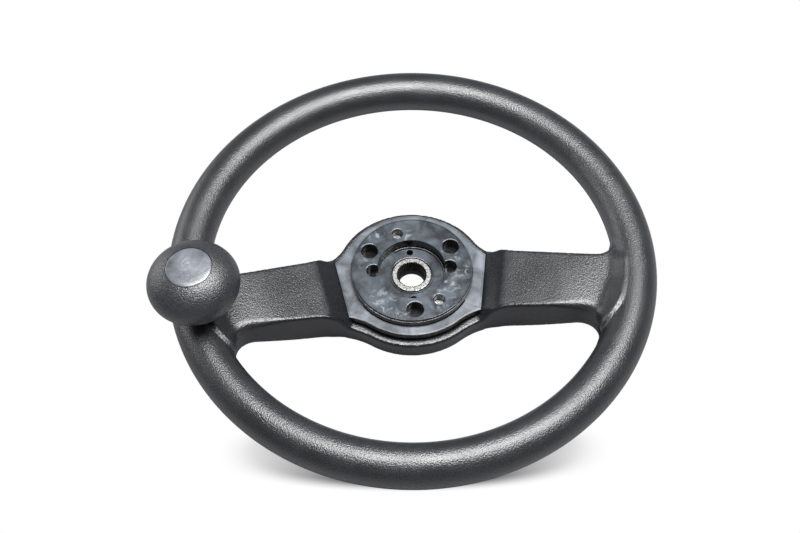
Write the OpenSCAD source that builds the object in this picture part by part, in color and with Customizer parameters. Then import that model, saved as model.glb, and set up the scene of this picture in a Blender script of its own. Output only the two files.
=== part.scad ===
// Two-spoke steering wheel for a ride-on sweeper, with a spinner knob.
// Origin: centre of the steering column bore at the back end of the steel hub sleeve.
// +Z points to the driver, +Y to the top of the wheel, and the spokes run to -X and +X.

/* [Rim] */
// Overall diameter of the rim
rim_od = 360; // [330:5:400]
// Thickness of the grip
grip_d = 30.6; // [28:0.2:34]
// Height of the rim's middle plane above the back end of the sleeve
rim_z = 41.5; // [36:0.5:46]
// Diameter of the steel ring inside the grip
ring_d = 12; // [10:0.5:14]

/* [Spokes] */
// Angle by which each spoke falls below the horizontal
spoke_droop = 14.8; // [10:0.1:18]
// Distance by which a spoke's middle line passes above the bore axis
spoke_lift = 3.8; // [2:0.1:5]
// Width of a spoke's flat face at the hub
spoke_w_hub = 51; // [48:0.5:54]
// Width of a spoke's flat face near the rim
spoke_w_rim = 45; // [42:0.5:47]
// Height of the spoke face at its inner edge
face_z_hub = 26.3; // [25:0.1:28]
// Height of the spoke face where it reaches the grip
face_z_rim = 48.5; // [46:0.5:50]
// Distance of the face's inner edge from the bore axis
face_s = 68.5; // [66:0.5:72]
// Distance of the foot of the inner slope from the bore axis
slope_s = 55; // [54:0.5:57]
// Radius of the spokes' long edges
spoke_edge_r = 3; // [2:0.5:5]
// Radius of the fillets between spoke and rim, seen from above
rim_fillet_r = 16; // [14:0.5:17]
// Width of the flat steel bar inside a spoke
bar_w = 24; // [18:1:28]
// Thickness of the flat steel bar
bar_t = 5; // [4:0.5:6]

/* [Hub moulding] */
// Radius of the grained hub shoulder
shoulder_r = 59.5; // [58:0.5:62]
// Height of the grained ledge round the tray
ledge_z = 11.5; // [10.5:0.5:13]
// Depth of the moulding behind the back end of the sleeve
back_depth = 4.5; // [3:0.5:7]
// Radius of the recess in the back of the hub
back_recess_r = 25; // [24:0.5:28]
// Radius of the hollow curves between hub and spokes
hub_blend_r = 50; // [44:1:56]

/* [Hub tray and disc] */
// Radius of the smooth tray
tray_r = 54; // [52:0.5:56]
// Half width to which the tray would narrow on a spoke
tray_half_w = 19.5; // [18.5:0.5:21]
// Height of the tray's top face
tray_z = 18; // [17:0.5:20]
// Thickness of the tray's floor under the disc
tray_floor_t = 3; // [2:0.5:4]
// Radius of the raised disc
disc_r = 46.5; // [45:0.5:48]
// Height of the disc's top face
disc_z = 24.5; // [23:0.5:26]
// Radius of the round recess in the disc
recess_r = 26; // [24:0.5:27]
// Depth of the recess and of the sockets
recess_depth = 9.8; // [8:0.2:10.4]
// Radius of the circle on which the three cover sockets lie
socket_pcr = 36; // [35:0.5:37]
// Radius of a cover socket
socket_r = 6.35; // [5.5:0.05:6.5]
// Radius of the two half-round notches in the recess wall
notch_r = 5.3; // [4.5:0.1:5.6]
// Distance of the notches from the bore axis
notch_pcr = 29; // [28:0.5:30]
// Radius of the two small holes in the recess floor
floor_hole_r = 2.5; // [2:0.1:3]
// Distance of the floor holes from the bore axis
floor_hole_pcr = 21; // [20:0.5:22]

/* [Steel hub] */
// Outer diameter of the sleeve
sleeve_d = 30; // [28:0.5:31]
// Length of the sleeve
sleeve_len = 16; // [15.5:0.5:18]
// Diameter of the plain pilot bore
bore_d = 20.4; // [18:0.1:21]
// Length of the plain pilot bore at the back end
pilot_len = 5; // [4:0.5:7]
// Number of serrations
serrations = 40; // [36:1:44]
// Depth of a serration
serration_depth = 0.7; // [0.5:0.1:1]
// Thickness of the steel flange
flange_t = 4; // [3:0.5:4.5]
// Radius of the steel flange
flange_r = 44; // [42:0.5:46]

/* [Fasteners] */
// Radius of the circle of the two disc screws
screw_pcr = 34; // [33.5:0.5:35]
// Radius of a disc screw's shank
screw_r = 2.4; // [2:0.1:2.5]
// Radius of a disc screw's head
screw_head_r = 3.9; // [3.6:0.1:4]
// Height of a disc screw's head
screw_head_h = 2.5; // [2:0.1:3]
// Diameter of the snap ring's wire
wire_d = 1.6; // [1.2:0.1:2]

/* [Knob] */
// Distance of the knob's axis from the middle of the grip, towards the hub
knob_inset = 7.5; // [7:0.1:9]
// Radius of the knob
knob_r = 32; // [28:0.5:34]
// Half height of the knob's oval section
knob_half_h = 22; // [21:0.5:24]
// Height of the knob's widest circle above the foot of the knob
knob_mid = 21.9; // [21.5:0.1:23]
// Radius of the cap in the top of the knob
cap_r = 15.7; // [14:0.1:17]
// Thickness of the cap at its edge
cap_t = 2.2; // [1.8:0.1:3]
// Radius of the stud's plain shoulder
stud_r = 5; // [4.5:0.1:5.5]
// Radius of the stud's thread
stud_thread_r = 4; // [3:0.1:4.2]
// Running clearance of the bushes on the stud
bush_gap = 0.05; // [0.03:0.01:0.08]

/* [Hidden] */

$fn = 96;
seat_gap = 0.3;   // clearance between mouldings that drop into each other
bond_gap = 0.05;  // clearance between the steel armature and what is moulded or welded to it
cut = 1;          // how far a cutting shape runs past the face it opens

// Rim
rim_r = rim_od/2 - grip_d/2;
grip_r = grip_d/2;
ring_r = ring_d/2;

// Hub levels, from the back to the driver's side
recess_z = disc_z - recess_depth;
disc_bottom_z = recess_z - 2.7;
tray_bottom_z = disc_bottom_z - tray_floor_t;
flange_z = tray_bottom_z - flange_t;
back_z = -back_depth;
screw_seat_z = disc_bottom_z + 2.5;

// Where the pockets and screws lie round the bore
socket_angles = [30, 150, 270];
notch_angles = [0, 180];
screw_angles = [105, 303];
floor_hole_angles = [90, 270];

// Spokes: the loft starts at the foot of the slope and ends inside the grip
spoke_root = 5.9;   // from the middle of the grip back to the end of the loft
lip_len = 18;
lip_rise = 5;
root_drop = 13.7;   // from the rim's middle plane down to the spoke's underside
under_lead = 10.5;
under_sag = 1.3;       // 1 gives a straight underside, more lets it hang
bar_lead = 3;
bar_bend_gap = 1;
round_allowance = 4;   // how far the curved rim falls back over the spoke's width
end_skew = 0.075;       // how far the tray's ends turn back from square to the spokes
fillet_follow = 0.5;   // 1 lets the fillets follow the round grip fully, 0 makes them upright
spoke_end_s = rim_r - spoke_root;
lip_s = spoke_end_s - lip_len;
fillet_s = rim_r - grip_r - round_allowance - rim_fillet_r;
square_s = slope_s + 2.2*(face_s - slope_s);
bottom_start_s = shoulder_r + under_lead;
bottom_end_z = rim_z - root_drop;
bar_start_s = back_recess_r + bar_lead;
bar_lap_s = flange_r + bar_bend_gap;

// Knob stack, from the pad on the rim upwards
knob_s = rim_r - knob_inset;
pad_z = rim_z + grip_r + 0.8;
pad_r = 15;
lug_r = 9;
lug_z = rim_z + 3.5;
stud_end_z = rim_z + 6.5;
lock_washer_z = pad_z;
lock_washer_t = 1.2;
lock_washer_r = 7.5;
collar_z = lock_washer_z + lock_washer_t;
collar_t = 2.5;
collar_r = 12;
thrust_z = collar_z + collar_t;
thrust_t = 1;
thrust_r = 11;
knob_mid_z = pad_z + knob_mid;
knob_bottom_z = thrust_z + thrust_t + seat_gap;
bush_body_r = stud_r + 2.6;
bush_flange_r = stud_r + 4.8;
bush_flange_t = 1.5;
bush_len = 9;
upper_bush_z = knob_bottom_z + 21;
circlip_t = 1.2;
circlip_r = stud_r + 2.6;
groove_depth = 1;
top_washer_z = upper_bush_z + bush_flange_t + seat_gap;
top_washer_t = 1;
top_washer_r = stud_r + 3.5;
circlip_z = top_washer_z + top_washer_t + 0.1;
stud_top_z = circlip_z + circlip_t + 2.5;
cap_z = knob_mid_z + knob_half_h*sqrt(1 - pow(cap_r/knob_r, 2)) - cap_t;
cavity_r = 11;
cap_dome = 0.9;
spigot_len = 3;

moulded_skin = "#34363a";
smooth_black = "#2b2e33";
steel = "#9a9c9f";

function lerp(a, b, t) = a + (b - a)*t;
function arc(c, r, a0, a1, n) = [for (i = [0:n]) c + r*[cos(lerp(a0, a1, i/n)), sin(lerp(a0, a1, i/n))]];
function turned(p, a) = [p.x*cos(a) - p.y*sin(a), p.x*sin(a) + p.y*cos(a)];
function mirrored(pts) = [for (i = [len(pts) - 1:-1:0]) [-pts[i].x, pts[i].y]];

// Hub outline: a circle that runs into both spokes through hollow curves.
// r is the circle, w the half width at a spoke and end_s where the spoke side stops.
function blend_s(r, w) = sqrt(pow(r + hub_blend_r, 2) - pow(w + hub_blend_r, 2));
function blend_y(r, w, s) = w + hub_blend_r - sqrt(pow(hub_blend_r, 2) - pow(min(0, s - blend_s(r, w)), 2));
function hub_side(r, half_w, mid_s, sign) =
    let (w = half_w + sign*spoke_lift, cs = blend_s(r, w), cy = w + hub_blend_r, foot = atan2(cy, cs),
         end_s = mid_s - end_skew*(sign*blend_y(r, w, mid_s) - spoke_lift), end = asin((cs - end_s)/hub_blend_r))
    [for (p = arc([cs, cy], hub_blend_r, 180 + foot, 270 - end, 12)) turned([p.x, sign*p.y], -spoke_droop)];
function reversed(pts) = [for (i = [len(pts) - 1:-1:0]) pts[i]];
function hub_outline(r, w, end_s) =
    let (up = hub_side(r, w, end_s, 1), low = hub_side(r, w, end_s, -1),
         a_up = atan2(up[0].y, up[0].x), a_low = atan2(low[0].y, low[0].x))
    concat(low, reversed(up), arc([0, 0], r, a_up + 3, 177 - a_up, 30),
           mirrored(reversed(up)), mirrored(low), arc([0, 0], r, 183 - a_low, 357 + a_low, 30));

// Spoke loft: rounded sections along the spoke, wider at the hub and at the rim
function face_z(s) = s <= face_s
    ? lerp(tray_z, face_z_hub, (s - slope_s)/(face_s - slope_s))
    : lerp(face_z_hub, face_z_rim, (s - face_s)/(rim_r - grip_r - face_s))
      + lip_rise*pow(max(0, s - lip_s)/(spoke_end_s - lip_s), 2);
function under_z(s) = s <= bottom_start_s ? back_z
    : lerp(back_z, bottom_end_z, pow((s - bottom_start_s)/(spoke_end_s - bottom_start_s), under_sag));
function half_width(s) = lerp(spoke_w_hub, spoke_w_rim, max(0, s - face_s)/(fillet_s - face_s))/2;
function side_y(s, sign) = sign*blend_y(shoulder_r, half_width(s) + sign*spoke_lift, s) - spoke_lift;
// The fillet follows the round grip: away from the middle plane it starts a little further out
function grip_s(z) = grip_r - sqrt(pow(grip_r, 2) - pow(min(abs(z - rim_z), 0.9*grip_r), 2));
function flare(s, z) = let (d = min(max(0, s - fillet_s - fillet_follow*grip_s(z)), 0.98*rim_fillet_r))
    rim_fillet_r - sqrt(pow(rim_fillet_r, 2) - d*d);
function skew(s) = end_skew*min(1, max(0, square_s - s)/(square_s - slope_s));
function section(s) =
    let (u = side_y(s, 1), l = side_y(s, -1), t = face_z(s), b = under_z(s), r = spoke_edge_r)
    [for (p = concat(arc([u - r, t - r], r, 0, 90, 4), arc([l + r, t - r], r, 90, 180, 4),
                     arc([l + r, b + r], r, 180, 270, 4), arc([u - r, b + r], r, 270, 360, 4)))
        [s - skew(s)*p.x, p.x + sign(p.x)*flare(s, p.y), p.y]];
spoke_stations = concat([slope_s, (slope_s + face_s)/2, face_s - 0.6, face_s + 0.6],
                        [for (i = [1:5]) lerp(face_s, fillet_s, i/5)],
                        [for (i = [1:7]) lerp(fillet_s, spoke_end_s, i/7)]);

module on_spoke(side) {
    if (side > 0) rotate([0, 0, -spoke_droop]) translate([0, spoke_lift, 0]) children();
    else mirror([1, 0, 0]) rotate([0, 0, -spoke_droop]) translate([0, spoke_lift, 0]) children();
}

module spoke_loft() {
    rings = [for (s = spoke_stations) section(s)];
    m = len(rings[0]);
    n = len(rings);
    pts = [for (ring = rings) each ring];
    sides = [for (i = [0:n - 2], j = [0:m - 1]) let (a = i*m + j, b = i*m + (j + 1)%m)
        each [[a, a + m, b + m], [a, b + m, b]]];
    polyhedron(points = pts,
               faces = concat([[for (j = [0:m - 1]) j]], sides, [[for (j = [m - 1:-1:0]) (n - 1)*m + j]]));
}

module ring_solid(g = 0) {
    translate([0, 0, rim_z]) rotate_extrude() translate([rim_r, 0]) circle(r = ring_r + g);
}

// Flat bar, bent once: it laps under the flange and climbs to the ring
module bar_solid(g = 0) {
    slope = (rim_z - flange_z + bar_t/2)/(rim_r - bar_lap_s);
    drop = g*sqrt(1 + slope*slope);
    translate([0, bar_w/2 + g, 0]) rotate([90, 0, 0]) linear_extrude(bar_w + 2*g)
        polygon([[bar_start_s - g, flange_z - bar_t - g], [bar_lap_s, flange_z - bar_t - g],
                 [rim_r, rim_z - bar_t/2 - drop], [rim_r, rim_z + bar_t/2 + drop],
                 [bar_lap_s, flange_z + g], [bar_start_s - g, flange_z + g]]);
}

module at_knob() {
    on_spoke(-1) translate([sqrt(pow(knob_s, 2) - pow(spoke_lift, 2)), 0, 0]) children();
}

module at_angles(radius, angles) {
    for (a = angles) rotate([0, 0, a]) translate([radius, 0, 0]) children();
}

module ring_of(r_out, r_in, z, h) {
    translate([0, 0, z]) difference() {
        cylinder(r = r_out, h = h);
        translate([0, 0, -cut]) cylinder(r = r_in, h = h + 2*cut);
    }
}

// Grained moulding: grip, both spokes and the hub shoulder in one piece over the steel armature
module rim_skin() {
    color(moulded_skin) difference() {
        union() {
            translate([0, 0, rim_z]) rotate_extrude() translate([rim_r, 0]) circle(r = grip_r);
            on_spoke(1) spoke_loft();
            on_spoke(-1) spoke_loft();
            translate([0, 0, back_z]) linear_extrude(ledge_z - back_z)
                polygon(hub_outline(shoulder_r, spoke_w_hub/2 - 0.5, slope_s + 4));
            at_knob() translate([0, 0, rim_z]) cylinder(r = pad_r, h = pad_z - rim_z);
        }
        ring_solid(bond_gap);
        on_spoke(1) bar_solid(bond_gap);
        on_spoke(-1) bar_solid(bond_gap);
        translate([0, 0, flange_z]) cylinder(r = flange_r + bond_gap, h = flange_t + cut);
        translate([0, 0, back_z - cut]) cylinder(r = back_recess_r, h = flange_z - back_z + 2*cut);
        translate([0, 0, tray_bottom_z]) linear_extrude(tray_z - tray_bottom_z + cut)
            polygon(hub_outline(tray_r + seat_gap, tray_half_w + seat_gap, slope_s + bond_gap));
        at_knob() translate([0, 0, lug_z - bond_gap]) cylinder(r = lug_r + bond_gap, h = pad_z - lug_z + cut);
    }
}

// Steel ring that stiffens the grip
module armature_ring() {
    color(steel) ring_solid();
}

module spoke_bar(side) {
    color(steel) difference() {
        on_spoke(side) bar_solid();
        ring_solid(bond_gap);
    }
}

module spoke_bar_left() {
    spoke_bar(-1);
}

module spoke_bar_right() {
    spoke_bar(1);
}

// Round steel plate that carries the sleeve, the bars and the disc screws
module hub_flange() {
    color(steel) difference() {
        ring_of(flange_r, sleeve_d/2 + bond_gap, flange_z, flange_t);
        at_angles(screw_pcr, screw_angles) translate([0, 0, flange_z - cut])
            cylinder(r = screw_r + bond_gap, h = flange_t + 2*cut);
        at_angles(floor_hole_pcr, floor_hole_angles) translate([0, 0, flange_z - cut])
            cylinder(r = floor_hole_r, h = flange_t + 2*cut);
    }
}

// Turned sleeve: plain pilot bore at the back, serrations in front of it
module hub_sleeve() {
    pitch = 360/serrations;
    bore_r = bore_d/2;
    crest_gap = 0.15;
    teeth = [for (i = [0:serrations - 1], k = [0, 0.5])
        let (r = bore_r + (k == 0 ? crest_gap : serration_depth)) r*[cos((i + k)*pitch), sin((i + k)*pitch)]];
    color("#c3c3c0") difference() {
        cylinder(d = sleeve_d, h = sleeve_len);
        translate([0, 0, -cut]) cylinder(d = bore_d, h = pilot_len + 2*cut);
        translate([0, 0, pilot_len]) linear_extrude(sleeve_len) polygon(teeth);
    }
}

// Smooth tray that runs out to both spokes and holds the disc
module hub_tray() {
    color(smooth_black) difference() {
        translate([0, 0, tray_bottom_z]) linear_extrude(tray_z - tray_bottom_z)
            polygon(hub_outline(tray_r, tray_half_w, slope_s - seat_gap));
        translate([0, 0, disc_bottom_z]) cylinder(r = disc_r + seat_gap, h = tray_z);
        translate([0, 0, tray_bottom_z - cut]) cylinder(d = sleeve_d + 2*seat_gap, h = tray_z);
        at_angles(screw_pcr, screw_angles) cylinder(r = screw_r + seat_gap, h = tray_z);
        at_angles(floor_hole_pcr, floor_hole_angles) cylinder(r = floor_hole_r, h = tray_z);
    }
}

// Thick disc with the recess, three cover sockets, two notches, two screw holes and two floor holes
module hub_disc() {
    lip = 1.4;
    lip_h = 0.6;
    collar_w = 1.7;
    collar_h = 0.8;
    color(smooth_black) difference() {
        union() {
            difference() {
                translate([0, 0, disc_bottom_z]) cylinder(r = disc_r, h = disc_z + lip_h - disc_bottom_z);
                translate([0, 0, disc_z]) cylinder(r = disc_r - lip, h = lip_h + cut);
                translate([0, 0, recess_z]) cylinder(r = recess_r, h = recess_depth + cut);
            }
            ring_of(sleeve_d/2 + collar_w, sleeve_d/2, recess_z - collar_h, 2*collar_h);
        }
        translate([0, 0, disc_bottom_z - cut]) cylinder(d = sleeve_d + seat_gap, h = disc_z);
        at_angles(socket_pcr, socket_angles) translate([0, 0, recess_z]) cylinder(r = socket_r, h = disc_z);
        at_angles(notch_pcr, notch_angles) translate([0, 0, recess_z]) cylinder(r = notch_r, h = disc_z);
        at_angles(floor_hole_pcr, floor_hole_angles) cylinder(r = floor_hole_r, h = disc_z);
        at_angles(screw_pcr, screw_angles) {
            cylinder(r = screw_r + seat_gap, h = disc_z);
            translate([0, 0, screw_seat_z]) cylinder(r = screw_head_r + seat_gap, h = disc_z);
        }
    }
}

// Open spring wire ring that lies at the foot of the recess wall
module snap_ring() {
    gap_from = 118;
    gap_to = 210;
    color("#6d7075") translate([0, 0, recess_z + wire_d/2]) rotate([0, 0, gap_to])
        rotate_extrude(angle = 360 - gap_to + gap_from) translate([recess_r - wire_d/2 - 0.1, 0])
            circle(d = wire_d, $fn = 24);
}

// Two screws that clamp disc and tray to the steel flange
module disc_screws() {
    color("#d0d0cc") at_angles(screw_pcr, screw_angles) {
        translate([0, 0, flange_z]) cylinder(r = screw_r, h = screw_seat_z - flange_z);
        difference() {
            translate([0, 0, screw_seat_z]) cylinder(r = screw_head_r, h = screw_head_h);
            for (a = [0, 90]) translate([0, 0, screw_seat_z + screw_head_h]) rotate([0, 0, a])
                cube([4.4, 1, 2.4], center = true);
        }
    }
}

// Steel boss welded on the ring, tapped for the knob's stud
module knob_lug() {
    color(steel) difference() {
        at_knob() ring_of(lug_r, stud_thread_r + bond_gap, lug_z, pad_z - lug_z);
        ring_solid(bond_gap);
    }
}

module knob_lock_washer() {
    color(steel) at_knob() difference() {
        ring_of(lock_washer_r, stud_thread_r + bond_gap, lock_washer_z, lock_washer_t);
        translate([lock_washer_r/2, 0, lock_washer_z]) rotate([0, 0, 20])
            cube([lock_washer_r + cut, 1.2, 4], center = true);
    }
}

module knob_collar() {
    color(steel) at_knob() ring_of(collar_r, stud_thread_r + bond_gap, collar_z, collar_t);
}

// Shoulder stud: thread below, plain shoulder for the bushes, ring groove and hexagon socket above
module knob_stud() {
    socket_across = 5;
    color(steel) at_knob() difference() {
        union() {
            translate([0, 0, stud_end_z]) cylinder(r = stud_thread_r, h = thrust_z - stud_end_z);
            translate([0, 0, thrust_z]) cylinder(r = stud_r, h = stud_top_z - thrust_z);
        }
        ring_of(stud_r + cut, stud_r - groove_depth, circlip_z - 0.05, circlip_t + 0.1);
        translate([0, 0, stud_top_z - 3]) cylinder(d = socket_across/cos(30), h = 3 + cut, $fn = 6);
    }
}

module knob_thrust_washer() {
    color("#d8d2bd") at_knob() ring_of(thrust_r, stud_r + bond_gap, thrust_z, thrust_t);
}

module knob_top_washer() {
    color(steel) at_knob() ring_of(top_washer_r, stud_r + bond_gap, top_washer_z, top_washer_t);
}

// Open retaining ring that sits in the stud's groove
module knob_circlip() {
    color("#55575a") at_knob() difference() {
        ring_of(circlip_r, stud_r - groove_depth + bond_gap, circlip_z, circlip_t);
        translate([circlip_r/2, 0, circlip_z]) cube([circlip_r + cut, 4, 4], center = true);
    }
}

// Grained knob with an oval section, cut flat below and bored for its bushes
module knob_shell() {
    low = asin((knob_mid_z - knob_bottom_z)/knob_half_h);
    high = acos(cap_r/knob_r);
    oval = [for (i = [0:28]) let (a = lerp(-low, high, i/28)) [knob_r*cos(a), knob_mid_z + knob_half_h*sin(a)]];
    color(moulded_skin) at_knob() difference() {
        rotate_extrude() polygon(concat([[0, knob_bottom_z]], oval, [[0, cap_z + cap_t]]));
        translate([0, 0, knob_bottom_z - cut]) cylinder(r = bush_body_r, h = upper_bush_z - knob_bottom_z + 2*cut);
        translate([0, 0, knob_bottom_z - cut]) cylinder(r = bush_flange_r, h = bush_flange_t + cut);
        translate([0, 0, upper_bush_z]) cylinder(r = cavity_r, h = cap_z - upper_bush_z + cut);
        translate([0, 0, cap_z]) cylinder(r = cap_r, h = cap_t + cut);
    }
}

module bush(z, flange_below) {
    color("#b08d57") at_knob() translate([0, 0, z]) mirror([0, 0, flange_below ? 0 : 1]) difference() {
        union() {
            cylinder(r = bush_flange_r, h = bush_flange_t);
            cylinder(r = bush_body_r, h = bush_len);
        }
        translate([0, 0, -cut]) cylinder(r = stud_r + bush_gap, h = bush_len + 2*cut);
    }
}

module knob_bush_lower() {
    bush(knob_bottom_z, true);
}

module knob_bush_upper() {
    bush(upper_bush_z + bush_flange_t, false);
}

// Smooth cap, slightly crowned, pressed into the top of the knob
module knob_cap() {
    crown_r = (cap_r*cap_r + cap_dome*cap_dome)/(2*cap_dome);
    crown = [for (i = [0:8]) let (a = lerp(asin(cap_r/crown_r), 0, i/8))
        [crown_r*sin(a), cap_z + cap_t + cap_dome - crown_r + crown_r*cos(a)]];
    color(smooth_black) at_knob() rotate_extrude()
        polygon(concat([[0, cap_z - spigot_len], [cavity_r, cap_z - spigot_len], [cavity_r, cap_z], [cap_r, cap_z]], crown));
}

rim_skin();
armature_ring();
spoke_bar_left();
spoke_bar_right();
hub_flange();
hub_sleeve();
hub_tray();
hub_disc();
snap_ring();
disc_screws();
knob_lug();
knob_lock_washer();
knob_collar();
knob_stud();
knob_thrust_washer();
knob_top_washer();
knob_circlip();
knob_shell();
knob_bush_lower();
knob_bush_upper();
knob_cap();
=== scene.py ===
import math
import bpy
import bmesh
import numpy as np
from mathutils import Matrix, Vector


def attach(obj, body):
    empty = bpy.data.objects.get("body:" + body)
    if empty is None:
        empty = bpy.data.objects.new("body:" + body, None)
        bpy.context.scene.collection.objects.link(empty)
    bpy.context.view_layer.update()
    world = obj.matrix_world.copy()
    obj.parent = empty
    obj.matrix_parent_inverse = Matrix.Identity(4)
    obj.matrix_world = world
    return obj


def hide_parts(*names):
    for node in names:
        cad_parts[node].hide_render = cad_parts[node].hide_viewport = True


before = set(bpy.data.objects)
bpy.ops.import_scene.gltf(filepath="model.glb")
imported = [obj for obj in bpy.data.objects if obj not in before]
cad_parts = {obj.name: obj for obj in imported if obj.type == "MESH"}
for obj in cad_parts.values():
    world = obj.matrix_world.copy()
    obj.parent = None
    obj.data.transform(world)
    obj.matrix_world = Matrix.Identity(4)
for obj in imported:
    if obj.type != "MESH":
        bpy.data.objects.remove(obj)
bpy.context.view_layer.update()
scene = bpy.context.scene
scene.view_settings.view_transform = "Standard"

# ---- Studio -------------------------------------------------------------------------
# Pale sweep that the wheel lies on, hub down, under one broad overhead lamp and a weak one
# from the left. The camera sees the floor white, and where the rim nears it a soft shadow,
# partly cast and partly painted into the floor's colour.

MM = 0.001
FLOOR_Z = -4.55 * MM
FLOOR_HALF = 6.0
WHEEL_TURN = math.radians(-3.2)
# The camera sees the matt paint, and so the shadow, only on an oval patch below the wheel's lower
# edge, outside a circle under the rim, where the paint's colour is darkened too, a painted shadow.
# Places and sizes are in metres.
SHADOW_SPOT, SHADOW_SIZE = (-0.0075, -0.1348, 0.0), (0.150, 0.031, 1.0)
CIRCLE_SPOT, FADE_FROM, FADE_TO = (0.0016, 0.029, FLOOR_Z), 0.164, 0.178


def linear(hex_colour):
    """sRGB hex to the linear colour that the nodes take."""
    parts = [int(hex_colour[i:i + 2], 16) / 255 for i in (1, 3, 5)]
    return [c / 12.92 if c <= 0.04045 else ((c + 0.055) / 1.055) ** 2.4 for c in parts] + [1.0]


def add_node(tree, kind, inputs=None, **settings):
    """Adds a node with its settings, its values and the links to its inputs."""
    node = tree.nodes.new(kind)
    for name, value in settings.items():
        setattr(node, name, value)
    for socket, value in (inputs or {}).items():
        if isinstance(value, bpy.types.NodeSocket):
            tree.links.new(value, node.inputs[socket])
        else:
            node.inputs[socket].default_value = value
    return node


def new_material(name):
    material = bpy.data.materials.new(name)
    material.use_nodes = True
    material.node_tree.nodes.clear()
    return material, material.node_tree


def link_mesh(name, mesh):
    piece = bpy.data.objects.new(name, mesh)
    scene.collection.objects.link(piece)
    return piece


floor_mesh = bpy.data.meshes.new("studio_floor")
floor_corners = [(x * FLOOR_HALF, y * FLOOR_HALF, FLOOR_Z) for x, y in ((-1, -1), (1, -1), (1, 1), (-1, 1))]
floor_mesh.from_pydata(floor_corners, [], [(0, 1, 2, 3)])
studio_floor = link_mesh("studio_floor", floor_mesh)
# Matt wall paint, plain, which takes a shadow without any shine; on the oval patch its colour
# is also darkened, a painted shadow
floor_paint_and_painted_shadow, tree = new_material("studio_floor_paint")
ray = add_node(tree, "ShaderNodeLightPath")
seen = add_node(tree, "ShaderNodeMath", {0: ray.outputs["Is Camera Ray"], 1: ray.outputs["Is Transmission Ray"]},
                operation="MAXIMUM")
place = add_node(tree, "ShaderNodeTexCoord").outputs["Object"]
patch = add_node(tree, "ShaderNodeMapping", {
    "Vector": place, "Location": SHADOW_SPOT, "Rotation": (0.0, 0.0, WHEEL_TURN), "Scale": SHADOW_SIZE},
    vector_type="TEXTURE")
reach = add_node(tree, "ShaderNodeVectorMath", {0: patch.outputs[0]}, operation="LENGTH")
rounded = add_node(tree, "ShaderNodeMapRange", {0: reach.outputs["Value"], 1: 0.74, 2: 1.0, 3: 1.0, 4: 0.0},
                   interpolation_type="SMOOTHSTEP")
sideways = add_node(tree, "ShaderNodeSeparateXYZ", {0: patch.outputs[0]})
sideways = add_node(tree, "ShaderNodeMath", {0: sideways.outputs[0]}, operation="ABSOLUTE")
fading = add_node(tree, "ShaderNodeMapRange", {0: sideways.outputs[0], 1: 0.28, 2: 0.95, 3: 1.0, 4: 0.0})
outside = add_node(tree, "ShaderNodeVectorMath", {0: place, 1: CIRCLE_SPOT}, operation="DISTANCE")
outside = add_node(tree, "ShaderNodeMapRange", {
    0: outside.outputs["Value"], 1: FADE_FROM, 2: FADE_TO, 3: 0.0, 4: 1.0})
dark = add_node(tree, "ShaderNodeMath", {0: rounded.outputs[0], 1: fading.outputs[0]}, operation="MULTIPLY")
dark = add_node(tree, "ShaderNodeMath", {0: dark.outputs[0], 1: outside.outputs[0]}, operation="MULTIPLY")
clear = add_node(tree, "ShaderNodeMath", {0: 1.0, 1: dark.outputs[0]}, operation="SUBTRACT")
share = add_node(tree, "ShaderNodeMath", {0: seen.outputs[0], 1: clear.outputs[0]}, operation="MULTIPLY")
# Painted shadow: towards the middle of the oval patch the paint darkens from #959597 to #444447
tone = add_node(tree, "ShaderNodeMix", {0: dark.outputs[0], 6: linear("#959597"), 7: linear("#444447")},
                data_type="RGBA")
matt = add_node(tree, "ShaderNodeBsdfDiffuse", {"Color": tone.outputs[2]})
white = add_node(tree, "ShaderNodeEmission", {"Color": linear("#ffffff"), "Strength": 1.0})
mixed = add_node(tree, "ShaderNodeMixShader", {0: share.outputs[0], 1: matt.outputs[0], 2: white.outputs[0]})
add_node(tree, "ShaderNodeOutputMaterial", {"Surface": mixed.outputs[0]})
floor_mesh.materials.append(floor_paint_and_painted_shadow)

world = bpy.data.worlds.new("studio_air")
scene.world = world
world.use_nodes = True
tree = world.node_tree
tree.nodes.clear()
ray = add_node(tree, "ShaderNodeLightPath")
seen = add_node(tree, "ShaderNodeMath", {0: ray.outputs["Is Camera Ray"], 1: ray.outputs["Is Transmission Ray"]},
                operation="MAXIMUM")
fill = add_node(tree, "ShaderNodeBackground", {"Color": linear("#f2f4f8"), "Strength": 0.24})
backdrop = add_node(tree, "ShaderNodeBackground", {"Color": linear("#ffffff"), "Strength": 1.0})
mixed = add_node(tree, "ShaderNodeMixShader", {0: seen.outputs[0], 1: fill.outputs[0], 2: backdrop.outputs[0]})
add_node(tree, "ShaderNodeOutputWorld", {"Surface": mixed.outputs[0]})


def area_lamp(name, place, target, width, height, power):
    lamp = bpy.data.lights.new(name, "AREA")
    lamp.shape = "RECTANGLE"
    lamp.size, lamp.size_y, lamp.energy = width, height, power
    holder = bpy.data.objects.new(name, lamp)
    holder.location = place
    holder.rotation_euler = (Vector(target) - Vector(place)).to_track_quat("-Z", "Y").to_euler()
    scene.collection.objects.link(holder)


area_lamp("overhead_softbox", (0.15, 0.03, 0.95), (0.15, 0.025, 0.0), 0.88, 0.54, 22.0)
area_lamp("left_softbox", (-1.15, 0.62, 0.34), (0.0, 0.0, 0.03), 0.9, 0.45, 4.5)

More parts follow.
